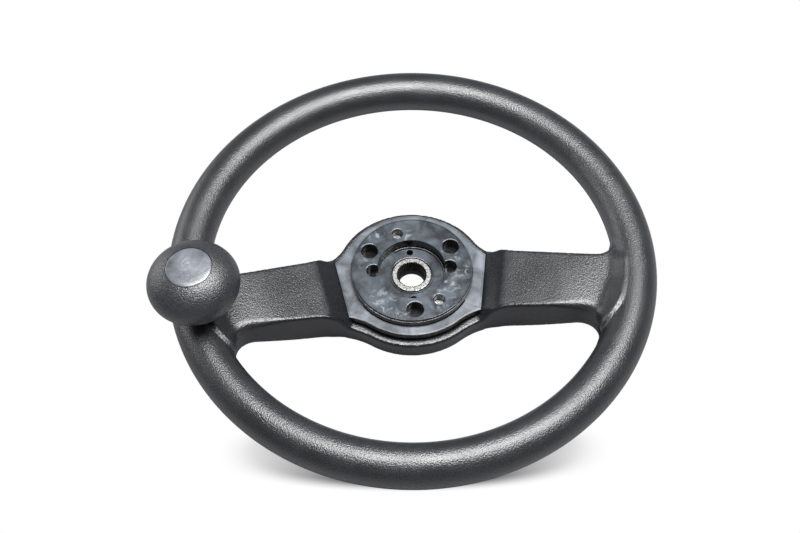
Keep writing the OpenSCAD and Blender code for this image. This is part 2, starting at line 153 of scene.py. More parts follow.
# The camera's focal length and place come from fitting the round rim's outline, seen from 57 degrees
LENS_MM, SENSOR_MM, RANGE_MM = 44.32, 36.0, 727.3
ELEVATION, ROLL = math.radians(57.0), math.radians(-0.67)
AIM_MM = Vector((-8.89, -9.23, 0.0))
RIM_Z = 41.5
right, up = Vector((1, 0, 0)), Vector((0, math.sin(ELEVATION), math.cos(ELEVATION)))
back = Vector((0, -math.cos(ELEVATION), math.sin(ELEVATION)))
axis_x = math.cos(ROLL) * right + math.sin(ROLL) * up
axis_y = -math.sin(ROLL) * right + math.cos(ROLL) * up
pose = Matrix((axis_x, axis_y, back)).transposed().to_4x4()
pose.translation = AIM_MM + RANGE_MM * back
pose = Matrix.Translation((0, 0, RIM_Z)) @ Matrix.Rotation(WHEEL_TURN, 4, "Z") @ pose
pose.translation *= MM
eye = bpy.data.cameras.new("photo_camera")
eye.lens, eye.sensor_width, eye.clip_start = LENS_MM, SENSOR_MM, 0.01
camera = bpy.data.objects.new("photo_camera", eye)
camera.matrix_world = pose
scene.collection.objects.link(camera)
scene.camera = camera

# ---- Grained moulding ---------------------------------------------------------------
# Grip, both spokes and the hub shoulder in one piece: hard polyurethane skin foamed over
# the steel armature in a closed mould, with a pebble grain etched into the mould's top half.

# Sizes in mm. s runs out along a spoke's middle line, t across it, and z is the height over the sleeve's end
RIM_R, GRIP_R = 164.7, 15.3
INNER_R = RIM_R - GRIP_R
DROOP, SPOKE_LIFT = math.radians(14.8), 3.8
SPOKE_HALF_W, SPOKE_TAPER, TAPER_RUN = 25.5, 3.0, 63
SHOULDER_R, SHOULDER_END_S, LEDGE_Z, BACK_Z = 59.5, 59.0, 11.5, -4.5
SHOULDER_SWELL = 0.6
HUB_BLEND_R = 50.0
UPPER_FILLET_R, LOWER_FILLET_R, UPPER_TAIL, LOWER_TAIL = 12.5, 22.0, 15, 25
TRAY_R, TRAY_HALF_W, TRAY_Z, TRAY_BOTTOM_Z = 54.0, 19.5, 18.0, 9.0
TRAY_SLACK = 0.3
SLOPE_S, FACE_S, FACE_Z, FACE_RISE = 55.0, 68.5, 26.3, 0.2744
SLOPE_RISE = (FACE_Z - TRAY_Z) / (FACE_S - SLOPE_S)
END_SKEW, SKEW_RUN = 0.075, 29.7
FACE_SAG = 3.2
UNDER_S, UNDER_RUN, UNDER_RISE = 70, 88.8, 32.3
SPOKE_END_R, LIP_R, LIP_BOW, LIP_H, LIP_START_S = 157.6, 155.8, 0.0135, 1.1, 130
FLANGE_Z, FLANGE_R, BACK_RECESS_R = 5.0, 44.0, 25.0
KNOB_REACH = 157.2
KNOB_ANGLE = DROOP - math.asin(SPOKE_LIFT / KNOB_REACH)
KNOB_X, KNOB_Y = -KNOB_REACH * math.cos(KNOB_ANGLE), -KNOB_REACH * math.sin(KNOB_ANGLE)
PAD_R, PAD_Z = 15.0, 57.6
# As fine as 200,000 triangles allow
GRID_MM = 1.5


def arc(cx, cy, r, a0, a1, n):
    return [(cx + r * math.cos(math.radians(a0 + (a1 - a0) * i / n)),
             cy + r * math.sin(math.radians(a0 + (a1 - a0) * i / n))) for i in range(n + 1)]


def hub_outline(r, half_w, mid_s, steps=14):
    """The hub's circle run into both spokes through hollow curves, anticlockwise from +X."""
    def side(sign):
        cy = half_w + sign * SPOKE_LIFT + HUB_BLEND_R
        cs = math.sqrt((r + HUB_BLEND_R) ** 2 - cy ** 2)
        mid_y = cy - math.sqrt(HUB_BLEND_R ** 2 - min(0, mid_s - cs) ** 2)
        end_s = mid_s - END_SKEW * (sign * mid_y - SPOKE_LIFT)
        foot, end = math.degrees(math.atan2(cy, cs)), math.degrees(math.asin((cs - end_s) / HUB_BLEND_R))
        pts = arc(cs, cy, HUB_BLEND_R, 180 + foot, 270 - end, steps)
        return [(x * math.cos(DROOP) + sign * y * math.sin(DROOP),
                 -x * math.sin(DROOP) + sign * y * math.cos(DROOP)) for x, y in pts]

    upper, lower = side(1), side(-1)
    a_up = math.degrees(math.atan2(upper[0][1], upper[0][0]))
    a_low = math.degrees(math.atan2(lower[0][1], lower[0][0]))
    flip = [(-x, y) for x, y in upper], [(-x, y) for x, y in reversed(lower)]
    return (lower + upper[::-1] + arc(0, 0, r, a_up + 2, 178 - a_up, 44) + flip[0] + flip[1]
            + arc(0, 0, r, 182 - a_low, 358 + a_low, 44))


def outline_distance(points, x, y):
    """Signed distance in the plane to a closed outline, negative inside."""
    best = np.full(np.broadcast(x, y).shape, 1e9)
    inside = np.zeros(best.shape, bool)
    for (x0, y0), (x1, y1) in zip(points, points[1:] + points[:1]):
        dx, dy = x1 - x0, y1 - y0
        along = np.clip(((x - x0) * dx + (y - y0) * dy) / (dx * dx + dy * dy + 1e-12), 0, 1)
        best = np.minimum(best, (x - x0 - along * dx) ** 2 + (y - y0 - along * dy) ** 2)
        if y0 != y1:
            inside ^= ((y0 > y) != (y1 > y)) & (x < x0 + dx * (y - y0) / dy)
    return np.where(inside, -1, 1) * np.sqrt(best)


def soft_max(a, b, k):
    return np.maximum(a, b) + np.maximum(k - np.abs(a - b), 0) ** 2 / (4 * k)


def soft_min(a, b, k):
    return -soft_max(-a, -b, k)


def step_between(lo, hi, value):
    t = np.clip((value - lo) / (hi - lo), 0, 1)
    return t * t * (3 - 2 * t)


def round_union(a, b, r):
    """Joins two shapes with a hollow fillet of radius r."""
    return np.maximum(r, np.minimum(a, b)) - np.hypot(np.maximum(r - a, 0), np.maximum(r - b, 0))


def spoke_frame(x, y):
    """Distances s and t along and across the nearer spoke, and s measured from the tray's slanted end."""
    s = np.abs(x) * math.cos(DROOP) - y * math.sin(DROOP)
    t = np.abs(x) * math.sin(DROOP) + y * math.cos(DROOP) - SPOKE_LIFT
    return s, t, s + END_SKEW * np.clip((SLOPE_S + SKEW_RUN - s) / SKEW_RUN, 0, 1) * t


def side_edge(s, half_w, sign):
    """How far a spoke's side lies from the line through the bore, with the hollow curve at the hub."""
    w = half_w + sign * SPOKE_LIFT + HUB_BLEND_R
    start = np.sqrt((SHOULDER_R + HUB_BLEND_R) ** 2 - w ** 2)
    return w - np.sqrt(HUB_BLEND_R ** 2 - np.clip(start - s, 0, 45) ** 2)


shoulder_outline = hub_outline(SHOULDER_R, SPOKE_HALF_W, SHOULDER_END_S)
pocket_outline = hub_outline(TRAY_R + TRAY_SLACK, TRAY_HALF_W + TRAY_SLACK, SLOPE_S)


def moulding_distance(x, y, z):
    """Signed distance to the moulding's surface, in mm, negative inside."""
    from_axis = np.hypot(x, y)
    grip = np.hypot(from_axis - RIM_R, z - RIM_Z) - GRIP_R
    s, t, row = spoke_frame(x, y)
    # A spoke in plan: tapered, and widened into the grip by a small fillet above and a large one below
    half_w = SPOKE_HALF_W - SPOKE_TAPER * np.clip((s - FACE_S) / TAPER_RUN, 0, 1)
    side = np.where(t > 0, t - side_edge(s, half_w, 1) + SPOKE_LIFT, -t - side_edge(s, half_w, -1) - SPOKE_LIFT)
    plan = np.where(t > 0, round_union(side, INNER_R - from_axis, UPPER_FILLET_R),
                    round_union(side, INNER_R - from_axis, LOWER_FILLET_R))
    plan = soft_max(plan, np.abs(t) - half_w - np.where(t > 0, UPPER_TAIL, LOWER_TAIL), 4.0)
    # Beside the tray's end the slope comes down to the ledge round the hub
    beside = step_between(0.3, 4.0, np.where(t > 0, t - 24.0, -t - 25.2))
    slope = TRAY_Z + (row - SLOPE_S) * SLOPE_RISE
    slope = slope + beside * (np.minimum(slope, LEDGE_Z + np.maximum(row - 50, 0) ** 2 / 18) - slope)
    # The face sinks a little before the rim, more at its lower side, and the underside sweeps up to the grip
    face = FACE_Z + (row - FACE_S) * FACE_RISE - FACE_SAG * np.clip(0.5 - t / 40, 0, 1) * step_between(106, 142, s)
    under = BACK_Z + UNDER_RISE * np.clip((s - UNDER_S) / UNDER_RUN, 0, 1) ** 1.3
    # Each height is divided by its slope's length, which makes it a distance
    top = soft_max((z - face) / 1.036, (z - slope) / 1.174, 1.4)
    edge = 1.5 + 4.9 * step_between(92, 138, s) * step_between(6, -12, t)
    spoke = soft_max(soft_max(plan, top, edge), (under - z) / 1.05, 3.4)
    spoke = soft_max(spoke, from_axis - SPOKE_END_R, 3.6)
    spoke = soft_max(spoke, SLOPE_S - 7 - s, 0.4)
    # The lip lies over the grip's inner side, thicker and blunter towards its lower end
    lip_edge = LIP_R - LIP_BOW * np.maximum(np.abs(t) - 13, 0) ** 2
    lip = soft_max(grip - LIP_H - 1.5 * step_between(4, -24, t), from_axis - lip_edge,
                   2.0 + 1.8 * step_between(4, -16, t))
    lip = soft_max(lip, np.abs(t) - half_w - np.where(t > 0, -1, 17), 8.0)
    lip = soft_max(lip, RIM_Z - z, 3.0)
    lip = soft_max(lip, LIP_START_S - s, 0.4)
    spoke = soft_min(spoke, lip, 6.0 + 3.0 * step_between(6, -12, t))
    body = soft_min(grip, spoke, 1.4 + (4.0 + 5.0 * step_between(4, -12, t)) * step_between(39, 29, z))
    hub = outline_distance(shoulder_outline, x, y) - SHOULDER_SWELL * step_between(58, 38, np.abs(x))
    hub = soft_max(hub, z - LEDGE_Z, 1.2)
    hub = soft_max(hub, BACK_Z - z, 2.6)
    body = soft_min(body, hub, 0.8)
    pad = soft_max(np.hypot(x - KNOB_X, y - KNOB_Y) - PAD_R, z - PAD_Z, 1.0)
    body = soft_min(body, soft_max(pad, RIM_Z - z, 0.5), 2.0)
    # The tray's pocket, the flange's seat and the recess in the back are taken out
    pocket = np.maximum(outline_distance(pocket_outline, x, y), TRAY_BOTTOM_Z - z)
    behind = np.maximum(from_axis - BACK_RECESS_R, z - FLANGE_Z - 1)
    seat = np.maximum(from_axis - FLANGE_R, FLANGE_Z - z)
    return soft_max(body, -np.minimum(np.minimum(pocket, behind), seat), 0.9)


def wrap_surface(distance, low, high, step):
    """Net of quads on the zero surface of a distance function, pulled exactly on to it."""
    axes = [np.arange(a, b + step, step) for a, b in zip(low, high)]
    x, y, z = axes[0][:, None, None], axes[1][None, :, None], axes[2][None, None, :]
    field = np.broadcast_to(distance(x, y, z), [len(a) for a in axes]).astype(np.float32)
    inside = field < 0
    corners = [(i, j, k) for i in (0, 1) for j in (0, 1) for k in (0, 1)]
    n = [len(a) - 1 for a in axes]

    def corner(array, c):
        return array[c[0]:c[0] + n[0], c[1]:c[1] + n[1], c[2]:c[2] + n[2]]

    # One point in each cell that the surface crosses, at the mean of its crossings
    count = sum(corner(inside, c).astype(np.int8) for c in corners)
    active = (count > 0) & (count < 8)
    cell = np.full(active.shape, -1, np.int64)
    cell[active] = np.arange(active.sum())
    base = np.argwhere(active)
    value = {c: corner(field, c)[active].astype(float) for c in corners}
    total, hits = np.zeros((len(base), 3)), np.zeros(len(base))
    for a in corners:
        for axis in range(3):
            if a[axis]:
                continue
            b = tuple(1 if i == axis else a[i] for i in range(3))
            cross = (value[a] < 0) != (value[b] < 0)
            t = np.where(cross, value[a] / np.where(cross, value[a] - value[b], 1), 0)
            point = np.array(a, float) + t[:, None] * (np.array(b) - np.array(a))
            total += point * cross[:, None]
            hits += cross
    verts = np.array(low) + (base + total / hits[:, None]) * step
    for _ in range(2):
        d = distance(verts[:, 0], verts[:, 1], verts[:, 2])
        grad = np.stack([(distance(*(verts + 0.02 * np.eye(3)[i]).T) - d) / 0.02 for i in range(3)], 1)
        move = -d[:, None] * grad / np.maximum((grad ** 2).sum(1), 0.2)[:, None]
        verts += np.clip(move, -0.6 * step, 0.6 * step)
    # One quad for each grid edge that the surface crosses, turned to face outwards
    quads = []
    for axis in range(3):
        u, v = (axis + 1) % 3, (axis + 2) % 3
        first = [slice(None)] * 3
        second = [slice(None)] * 3
        first[axis], second[axis] = slice(0, -1), slice(1, None)
        starts, ends = inside[tuple(first)], inside[tuple(second)]
        edge = np.argwhere(starts != ends)
        edge = edge[(edge[:, u] > 0) & (edge[:, v] > 0) & (edge[:, u] < n[u]) & (edge[:, v] < n[v])]
        ring = []
        for du, dv in ((1, 1), (0, 1), (0, 0), (1, 0)):
            at = edge.copy()
            at[:, u] -= du
            at[:, v] -= dv
            ring.append(cell[tuple(at.T)])
        ring = np.stack(ring, 1)
        flip = ~starts[tuple(edge.T)]
        ring[flip] = ring[flip][:, ::-1]
        quads.append(ring)
    return verts, np.concatenate(quads), grad


def mesh_from(name, verts_mm, quads):
    mesh = bpy.data.meshes.new(name)
    verts_mm, quads = np.asarray(verts_mm, float), np.asarray(quads)
    mesh.vertices.add(len(verts_mm))
    mesh.vertices.foreach_set("co", (verts_mm * MM).astype(np.float32).ravel())
    mesh.loops.add(quads.size)
    mesh.loops.foreach_set("vertex_index", quads.ravel())
    mesh.polygons.add(len(quads))
    mesh.polygons.foreach_set("loop_start", np.arange(0, quads.size, quads.shape[1]))
    mesh.update(calc_edges=True)
    mesh.validate()
    mesh.polygons.foreach_set("use_smooth", np.ones(len(mesh.polygons), bool))
    return mesh


verts, quads, normals = wrap_surface(moulding_distance, (-183, -183, -8), (183, 183, 62), GRID_MM)
verts[:, 2] = np.maximum(verts[:, 2], BACK_Z)
moulding_mesh = mesh_from("moulding", verts, quads)

# Grain fades out on the spokes' side walls and the hub's outer wall, which the photo shows plain, and
# nearly goes on the slope by the tray and along the spokes' lower edge. The grip keeps it all round.
lift = normals[:, 2] / np.linalg.norm(normals, axis=1)
near_grip = np.abs(np.hypot(np.hypot(verts[:, 0], verts[:, 1]) - RIM_R, verts[:, 2] - RIM_Z) - GRIP_R)
s, t, row = spoke_frame(verts[:, 0], verts[:, 1])
crisp = step_between(128, 95, s)
plain_below = 0.15 + 0.7 * crisp
grained = step_between(plain_below, plain_below + 0.3 - 0.2 * crisp, lift)
grained = np.maximum(grained, step_between(7.0, 3.0, near_grip))
on_slope = (row < FACE_S - 0.5) & (row > SLOPE_S - 2) & (verts[:, 2] > 12.5) & (lift > 0.5) & (np.abs(t) < 25)
grained = np.where(on_slope, 0.05, grained)
at_edge = crisp * step_between(23.0, 24.2, -t) * (s > SLOPE_S + 2) * step_between(3.0, 7.0, near_grip)
grained = grained * (1 - at_edge)
attribute = moulding_mesh.attributes.new("grained", "FLOAT", "POINT")
attribute.data.foreach_set("value", grained.astype(np.float32))

# Real pebbles are about 0.7 mm wide and would blur in the render, so they are drawn 1 mm wide
GRAIN_MM, GRAIN_NOISE_MM, CLOUD_MM = 1.0, 0.95, 24.0


def pebble_grain(name, colour, pit_shade_colour, depth, rough, mask=None):
    """Pebbled skin with pits painted darker, a painted shade in the hollows. A mask, where there is one, names the
    attribute that fades the grain.
    """
    material, tree = new_material(name)
    place = add_node(tree, "ShaderNodeTexCoord").outputs["Object"]
    pebbles = add_node(tree, "ShaderNodeTexVoronoi", {
        "Vector": place, "Scale": 1000 / GRAIN_MM, "Randomness": 1.0})
    fine = add_node(tree, "ShaderNodeTexNoise", {"Vector": place, "Scale": 1000 / GRAIN_NOISE_MM, "Detail": 2.0})
    cloud = add_node(tree, "ShaderNodeTexNoise", {"Vector": place, "Scale": 1000 / CLOUD_MM, "Detail": 3.0})
    rise = add_node(tree, "ShaderNodeMath", {0: 1.0, 1: pebbles.outputs["Distance"]}, operation="SUBTRACT")
    height = add_node(tree, "ShaderNodeMath", {0: fine.outputs[0], 1: 1.3, 2: rise.outputs[0]},
                      operation="MULTIPLY_ADD")
    plain_rough = rough if mask else rough + 0.08
    gloss = add_node(tree, "ShaderNodeMapRange", {
        0: cloud.outputs[0], 1: 0.3, 2: 0.7, 3: plain_rough - 0.05, 4: plain_rough + 0.06}).outputs[0]
    strength, shine = 1.0, 1.0
    if mask:
        amount = add_node(tree, "ShaderNodeAttribute", attribute_name=mask).outputs["Fac"]
        strength, gloss, shine = [
            add_node(tree, "ShaderNodeMath", {0: amount, 1: gain, 2: least}, operation="MULTIPLY_ADD").outputs[0]
            for gain, least in ((0.92, 0.08), (0.08, gloss), (0.70, 0.30))]
    bump = add_node(tree, "ShaderNodeBump", {
        "Strength": strength, "Distance": depth * MM, "Height": height.outputs[0]})
    # Painted shade: the hollows between pebbles, and the patches where the cloud noise is low, take the darker pit
    # colour
    pits = add_node(tree, "ShaderNodeMapRange", {0: rise.outputs[0], 1: 0.25, 2: 0.75, 3: 0.0, 4: 1.0})
    weight = add_node(tree, "ShaderNodeMath", {0: pits.outputs[0], 1: cloud.outputs[0]}, operation="MULTIPLY")
    shade = add_node(tree, "ShaderNodeMix", {0: weight.outputs[0], 6: linear(pit_shade_colour), 7: linear(colour)},
                     data_type="RGBA")
    skin = add_node(tree, "ShaderNodeBsdfPrincipled", {
        "Base Color": shade.outputs[2], "Roughness": gloss, "Normal": bump.outputs[0], "IOR": 1.5,
        "Specular IOR Level": shine})
    add_node(tree, "ShaderNodeOutputMaterial", {"Surface": skin.outputs[0]})
    return material


# Polyurethane skin, moulded against an etched steel mould: charcoal, with satin pebbles that break up
# each highlight, and plainer, duller walls where the mould wasn't etched
skin_grain = pebble_grain("moulded_polyurethane_grain", "#292c30", "#151517", 0.14, 0.27, "grained")
moulding_mesh.materials.append(skin_grain)
moulding = link_mesh("moulding", moulding_mesh)
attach(moulding, "wheel")
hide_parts("rim_skin")

# ---- Steel armature -----------------------------------------------------------------
# Ring, spoke bars, flange and knob boss of mild steel, cut, bent and welded together before
# the skin is moulded over them. Only the flange shows, from behind, round the sleeve.


def bare_steel(name, colour, dark, rough, patch_mm, speck_mm, bore_r=0.0):
    """Metal with patches and fine specks of a darker, duller tone, and a near-black painted shade inside bore_r.
    """
    material, tree = new_material(name)
    place = add_node(tree, "ShaderNodeTexCoord").outputs["Object"]
    patches = add_node(tree, "ShaderNodeTexNoise", {"Vector": place, "Scale": 1000 / patch_mm, "Detail": 4.0})
    specks = add_node(tree, "ShaderNodeTexNoise", {"Vector": place, "Scale": 1000 / speck_mm, "Detail": 2.0})
    both = add_node(tree, "ShaderNodeMath", {0: patches.outputs[0], 1: specks.outputs[0]}, operation="MULTIPLY")
    share = add_node(tree, "ShaderNodeMapRange", {0: both.outputs[0], 1: 0.14, 2: 0.34, 3: 0.0, 4: 1.0})
    shade = add_node(tree, "ShaderNodeMix", {0: share.outputs[0], 6: linear(dark), 7: linear(colour)},
                     data_type="RGBA")
    # Painted shade: inside bore_r the colour is a flat near black, for the shade deep in the bore
    if bore_r:
        spot = add_node(tree, "ShaderNodeSeparateXYZ", {0: place})
        flat = add_node(tree, "ShaderNodeCombineXYZ", {0: spot.outputs[0], 1: spot.outputs[1]})
        reach = add_node(tree, "ShaderNodeVectorMath", {0: flat.outputs[0]}, operation="LENGTH")
        outer = add_node(tree, "ShaderNodeMath", {0: reach.outputs["Value"], 1: bore_r * MM},
                         operation="GREATER_THAN")
        shade = add_node(tree, "ShaderNodeMix", {0: outer.outputs[0], 6: linear("#262627"), 7: shade.outputs[2]},
                         data_type="RGBA")
    gloss = add_node(tree, "ShaderNodeMapRange", {0: share.outputs[0], 1: 0.0, 2: 1.0, 3: rough + 0.18, 4: rough})
    bump = add_node(tree, "ShaderNodeBump", {"Strength": 0.25, "Distance": 0.08 * MM, "Height": specks.outputs[0]})
    metal = add_node(tree, "ShaderNodeBsdfPrincipled", {
        "Base Color": shade.outputs[2], "Roughness": gloss.outputs[0], "Normal": bump.outputs[0],
        "Metallic": 1.0})
    add_node(tree, "ShaderNodeOutputMaterial", {"Surface": metal.outputs[0]})
    return material


def repaint(nodes, material):
    for node in nodes:
        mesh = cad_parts[node].data
        mesh.materials.clear()
        mesh.materials.append(material)


# Hot-rolled mild steel: dull grey, with darker patches where the mill scale is left
repaint(("armature_ring", "spoke_bar_left", "spoke_bar_right", "hub_flange", "knob_lug"),
        bare_steel("mill_scaled_steel", "#8a8a8b", "#4a4a4c", 0.4, 6.0, 0.8))

# ---- Hub tray -----------------------------------------------------------------------
# Smooth glass-filled nylon moulding that covers the flange and runs out to both spokes.
# Its outer edge carries a fine bead, and its wall, painted near black as shade, stands down to the grained ledge.

DISC_R, DISC_BOTTOM_Z = 46.5, 12.0
SLEEVE_R = 15.0
BEAD_W, BEAD_H = 1.1, 0.35
# Rings of holes, as count, circle radius, start angle and step in degrees
SCREWS = (2, 34.0, 105, 198)
PULLER_HOLES = (2, 21.0, 90, 180)
SCREW_WAY_R, PULLER_HOLE_R = 2.7, 2.5
# Slow flow waves, fine haze, blotches of tone and scuff creases in the smooth faces
FLOW_MM, HAZE_MM, BLOTCH_MM, CREASE_MM = 9.0, 1.1, 16.0, 6.0
# Painted shade: below this height the hole floors are painted near black
SHADED_HOLE_FLOORS_BELOW_Z = 22.0


def inset(points, d):
    """The outline moved inwards by d, with mitred corners."""
    n, out = len(points), []
    for i, (x, y) in enumerate(points):
        (x0, y0), (x1, y1) = points[i - 1], points[(i + 1) % n]
        a = Vector((y - y0, x0 - x)).normalized()
        b = Vector((y1 - y, x - x1)).normalized()
        m = (a + b) / (1 + a.dot(b))
        out.append((x - m.x * d, y - m.y * d))
    return out


def clean_outline(points, gap=0.05):
    kept = [points[0]]
    for p in points[1:]:
        if math.dist(p, kept[-1]) > gap:
            kept.append(p)
    return kept if math.dist(kept[0], kept[-1]) > gap else kept[:-1]


def bridge_rings(rings):
    """Points of rings of equal length, with quads between them and from the last to the first."""
    n, quads = len(rings[0]), []
    for i in range(len(rings)):
        k = (i + 1) % len(rings)
        for j in range(n):
            quads.append((i * n + j, i * n + (j + 1) % n, k * n + (j + 1) % n, k * n + j))
    return [p for ring in rings for p in ring], quads


def sharpen(mesh, degrees):
    """Marks as sharp the edges that bend by more than this, so that the rest shades smooth."""
    work = bmesh.new()
    work.from_mesh(mesh)
    bmesh.ops.recalc_face_normals(work, faces=work.faces)
    for edge in work.edges:
        edge.smooth = len(edge.link_faces) == 2 and edge.calc_face_angle(0) < math.radians(degrees)
    for face in work.faces:
        face.smooth = True
    work.to_mesh(mesh)
    work.free()


def turned(name, profile, steps, centre=(0.0, 0.0)):
    """Solid of revolution from a closed profile of (radius, height) in mm, drawn anticlockwise."""
    work = bmesh.new()
    rings = []
    for r, z in profile:
        if r < 1e-6:
            rings.append([work.verts.new((centre[0] * MM, centre[1] * MM, z * MM))])
        else:
            rings.append([work.verts.new(((centre[0] + r * math.cos(2 * math.pi * i / steps)) * MM,
                                          (centre[1] + r * math.sin(2 * math.pi * i / steps)) * MM, z * MM))
                          for i in range(steps)])
    for a, b in zip(rings, rings[1:] + rings[:1]):
        if len(a) == 1 and len(b) == 1:
            continue
        for i in range(steps):
            j = (i + 1) % steps
            corner = [a[i % len(a)], a[j % len(a)], b[j % len(b)], b[i % len(b)]]
            corner = [v for k, v in enumerate(corner) if v not in corner[:k]]
            work.faces.new(corner)
    bmesh.ops.recalc_face_normals(work, faces=work.faces)
    mesh = bpy.data.meshes.new(name)
    work.to_mesh(mesh)
    work.free()
    return mesh


def carve(mesh, cutters):
    """Takes the cutters away from the mesh and returns the plain result."""
    body = link_mesh("carved", mesh)
    tools = []
    for number, cutter in enumerate(cutters):
        tool = link_mesh("cutter_%d" % number, cutter)
        tools.append(tool)
        hole = body.modifiers.new("hole", "BOOLEAN")
        hole.operation, hole.solver, hole.object = "DIFFERENCE", "EXACT", tool
    result = bpy.data.meshes.new_from_object(body.evaluated_get(bpy.context.evaluated_depsgraph_get()))
    for thing in [body] + tools:
        bpy.data.objects.remove(thing)
    return result


def finish_with(mesh, material):
    """Gives the whole mesh one material, in place of what a cut left on it."""
    mesh.materials.clear()
    mesh.materials.append(material)
    mesh.polygons.foreach_set("material_index", np.zeros(len(mesh.polygons), np.int32))


def ring_tree():
    """Node tree that sets copies of one cutter on a circle, from a start angle at an even step."""
    tree = bpy.data.node_groups.new("ring_of_pockets", "GeometryNodeTree")
    for label, kind in (("Pocket", "Geometry"), ("Count", "Int"), ("Circle Radius", "Float"),
                        ("Start Angle", "Float"), ("Step Angle", "Float"), ("Finish", "Material")):
        tree.interface.new_socket(label, in_out="INPUT", socket_type="NodeSocket" + kind)
    tree.interface.new_socket("Pockets", in_out="OUTPUT", socket_type="NodeSocketGeometry")
    given = add_node(tree, "NodeGroupInput").outputs
    number = add_node(tree, "GeometryNodeInputIndex").outputs[0]
    turn = add_node(tree, "ShaderNodeMath", {0: number, 1: given["Step Angle"], 2: given["Start Angle"]},
                    operation="MULTIPLY_ADD").outputs[0]
    across, along = [add_node(tree, "ShaderNodeMath", {0: turn}, operation=kind).outputs[0]
                     for kind in ("COSINE", "SINE")]
    across, along = [add_node(tree, "ShaderNodeMath", {0: part, 1: given["Circle Radius"]},
                              operation="MULTIPLY").outputs[0] for part in (across, along)]
    spot = add_node(tree, "ShaderNodeCombineXYZ", {0: across, 1: along})
    line = add_node(tree, "GeometryNodeMeshLine", {"Count": given["Count"]})
    spots = add_node(tree, "GeometryNodeSetPosition", {"Geometry": line.outputs[0], "Position": spot.outputs[0]})
    copies = add_node(tree, "GeometryNodeInstanceOnPoints", {
        "Points": spots.outputs[0], "Instance": given["Pocket"]})
    solid = add_node(tree, "GeometryNodeRealizeInstances", {"Geometry": copies.outputs[0]})
    done = add_node(tree, "GeometryNodeSetMaterial", {"Geometry": solid.outputs[0], "Material": given["Finish"]})
    add_node(tree, "NodeGroupOutput", {0: done.outputs[0]})
    return tree


RING_TREE = ring_tree()


def pocket_ring(name, r, floor, edge, top, ring, finish):
    """One mesh with the cutters of a ring of round pockets, each with a softened mouth."""
    above = top + 4
    profile = [(0, floor), (r, floor), (r, top - edge), (r + 0.13 * edge, top - 0.5 * edge),
               (r + 0.5 * edge, top - 0.13 * edge), (r + edge, top + 0.02), (r + edge, above), (0, above)]
    cutter = link_mesh(name, turned(name, profile, 64))
    copies = cutter.modifiers.new("ring", "NODES")
    copies.node_group = RING_TREE
    count, circle_r, start, step = ring
    for label, value in (("Count", count), ("Circle Radius", circle_r * MM), ("Start Angle", math.radians(start)),
                         ("Step Angle", math.radians(step)), ("Finish", finish)):
        copies[RING_TREE.interface.items_tree[label].identifier] = value
    mesh = bpy.data.meshes.new_from_object(cutter.evaluated_get(bpy.context.evaluated_depsgraph_get()))
    bpy.data.objects.remove(cutter)
    return mesh


